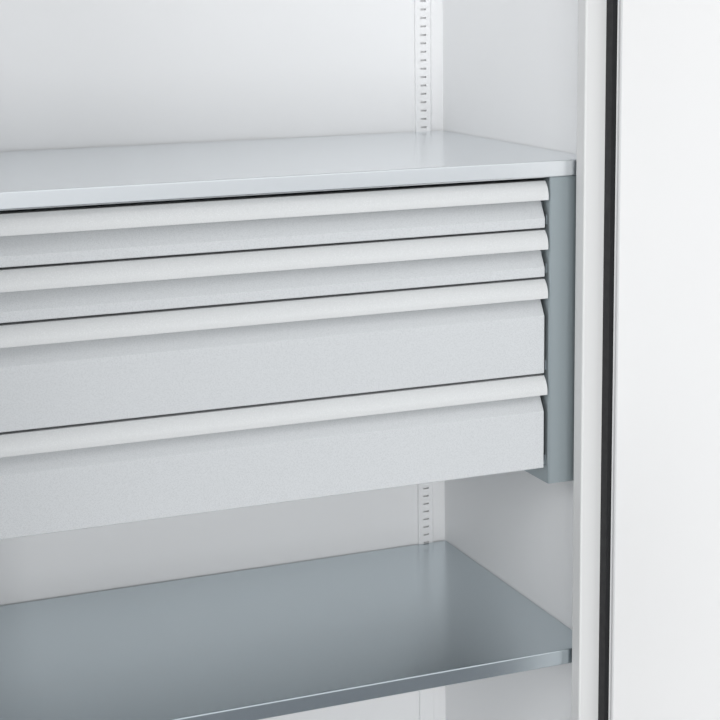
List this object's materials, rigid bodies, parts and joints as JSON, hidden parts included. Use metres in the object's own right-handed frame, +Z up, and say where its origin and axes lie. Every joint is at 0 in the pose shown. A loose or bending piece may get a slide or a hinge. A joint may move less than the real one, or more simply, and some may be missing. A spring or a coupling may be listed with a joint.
{
  "type": "heavy-duty drawer cabinet",
  "caption": "Tall two-door steel cabinet with a hung block of telescopic drawers, galvanised shelves, slotted uprights and a turn handle with locking rods.",
  "frame": {"origin": "on the floor, under the middle of the shut cabinet's width and depth", "axes": "+Z up, +X to the right seen from the front, +Y to the back"},
  "size_m": [1.4041, 1.1391, 2],
  "materials": {
    "paint": "light grey powder coat, fine texture",
    "door_paint": "near-white powder coat",
    "front_paint": "light grey powder coat",
    "strip_paint": "light grey powder coat on an extruded strip",
    "galvanised": "galvanised sheet, satin",
    "black_rubber": "matt black",
    "bright_steel": "zinc plated",
    "brass": "turned",
    "handle_black": "fine matt"
  },
  "bodies": {
    "carcass": {"plinth": "paint", "base_panel": "paint", "top_cap": "paint", "ceiling_panel": "paint", "back_panel": "paint", "side_panel_left": "paint", "side_panel_right": "paint", "stile_left": "paint", "stile_right": "paint", "pilaster_left": "paint", "pilaster_right": "paint", "door_seal_left": "black_rubber", "door_seal_right": "black_rubber", "head_rail": "paint", "sill_rail": "paint", "upper_shelf": "galvanised", "lower_shelf": "galvanised", "shelf_clips": "galvanised", "drawer_frame_left": "galvanised", "drawer_frame_right": "galvanised", "fixed_runners": "galvanised", "pivot_bushes": "brass"},
    "drawer_1": {"drawer_1_tray": "galvanised", "drawer_1_front": "front_paint", "drawer_1_strip": "strip_paint", "drawer_1_runners": "galvanised"},
    "middle_runners_1": {"drawer_1_middle_runners": "galvanised"},
    "drawer_2": {"drawer_2_tray": "galvanised", "drawer_2_front": "front_paint", "drawer_2_strip": "strip_paint", "drawer_2_runners": "galvanised"},
    "middle_runners_2": {"drawer_2_middle_runners": "galvanised"},
    "drawer_3": {"drawer_3_tray": "galvanised", "drawer_3_front": "front_paint", "drawer_3_strip": "strip_paint", "drawer_3_runners": "galvanised"},
    "middle_runners_3": {"drawer_3_middle_runners": "galvanised"},
    "drawer_4": {"drawer_4_tray": "galvanised", "drawer_4_front": "front_paint", "drawer_4_strip": "strip_paint", "drawer_4_runners": "galvanised"},
    "middle_runners_4": {"drawer_4_middle_runners": "galvanised"},
    "left_door": {"left_door_skin": "door_paint", "left_door_inner": "door_paint", "left_door_stiffener": "door_paint", "left_door_pivots": "bright_steel", "meeting_strip": "door_paint"},
    "right_door": {"right_door_skin": "door_paint", "right_door_inner": "door_paint", "right_door_stiffener": "door_paint", "right_door_pivots": "bright_steel", "handle_plate": "handle_black", "rod_guides": "bright_steel"},
    "handle": {"handle_lever": "handle_black", "lock_pinion": "bright_steel"},
    "lock_cylinder": {"lock_cylinder": "bright_steel"},
    "upper_rod": {"upper_rod": "bright_steel"},
    "lower_rod": {"lower_rod": "bright_steel"}
  },
  "joints": [
    {"name": "drawer_1_slide", "type": "slide", "parent": "carcass", "child": "drawer_1", "axis": [0, -1, 0], "range_m": [0, 0.5]},
    {"name": "middle_runners_1_slide", "type": "slide", "parent": "carcass", "child": "middle_runners_1", "axis": [0, -1, 0], "range_m": [0, 0.25]},
    {"name": "drawer_2_slide", "type": "slide", "parent": "carcass", "child": "drawer_2", "axis": [0, -1, 0], "range_m": [0, 0.5]},
    {"name": "middle_runners_2_slide", "type": "slide", "parent": "carcass", "child": "middle_runners_2", "axis": [0, -1, 0], "range_m": [0, 0.25]},
    {"name": "drawer_3_slide", "type": "slide", "parent": "carcass", "child": "drawer_3", "axis": [0, -1, 0], "range_m": [0, 0.5]},
    {"name": "middle_runners_3_slide", "type": "slide", "parent": "carcass", "child": "middle_runners_3", "axis": [0, -1, 0], "range_m": [0, 0.25]},
    {"name": "drawer_4_slide", "type": "slide", "parent": "carcass", "child": "drawer_4", "axis": [0, -1, 0], "range_m": [0, 0.5]},
    {"name": "middle_runners_4_slide", "type": "slide", "parent": "carcass", "child": "middle_runners_4", "axis": [0, -1, 0], "range_m": [0, 0.25]},
    {"name": "left_door_hinge", "type": "hinge", "parent": "carcass", "child": "left_door", "pos_m": [-0.516, -0.314, 1], "axis": [0, 0, -1], "range_deg": [-110, 0]},
    {"name": "right_door_hinge", "type": "hinge", "parent": "carcass", "child": "right_door", "pos_m": [0.516, -0.314, 1], "axis": [0, 0, 1], "range_deg": [-110, 0]},
    {"name": "handle_turn", "type": "hinge", "parent": "right_door", "child": "handle", "pos_m": [0.68196, -0.7378, 1.05], "axis": [0.9397, 0.342, 0], "range_deg": [0, 90]},
    {"name": "lock_cylinder_turn", "type": "hinge", "parent": "handle", "child": "lock_cylinder", "pos_m": [0.68196, -0.7378, 1.05], "axis": [0.9397, 0.342, 0], "range_deg": [0, 90]},
    {"name": "upper_rod_slide", "type": "slide", "parent": "right_door", "child": "upper_rod", "axis": [0, 0, 1], "range_m": [0, 0.01509]},
    {"name": "lower_rod_slide", "type": "slide", "parent": "right_door", "child": "lower_rod", "axis": [0, 0, -1], "range_m": [0, 0.01509]}
  ],
  "couplings": [
    {"joint": "middle_runners_1_slide", "follows": "drawer_1_slide", "ratio": 0.5},
    {"joint": "middle_runners_2_slide", "follows": "drawer_2_slide", "ratio": 0.5},
    {"joint": "middle_runners_3_slide", "follows": "drawer_3_slide", "ratio": 0.5},
    {"joint": "middle_runners_4_slide", "follows": "drawer_4_slide", "ratio": 0.5},
    {"joint": "upper_rod_slide", "follows": "handle_turn", "m_per_rad": 0.0096},
    {"joint": "lower_rod_slide", "follows": "handle_turn", "m_per_rad": 0.0096}
  ]
}
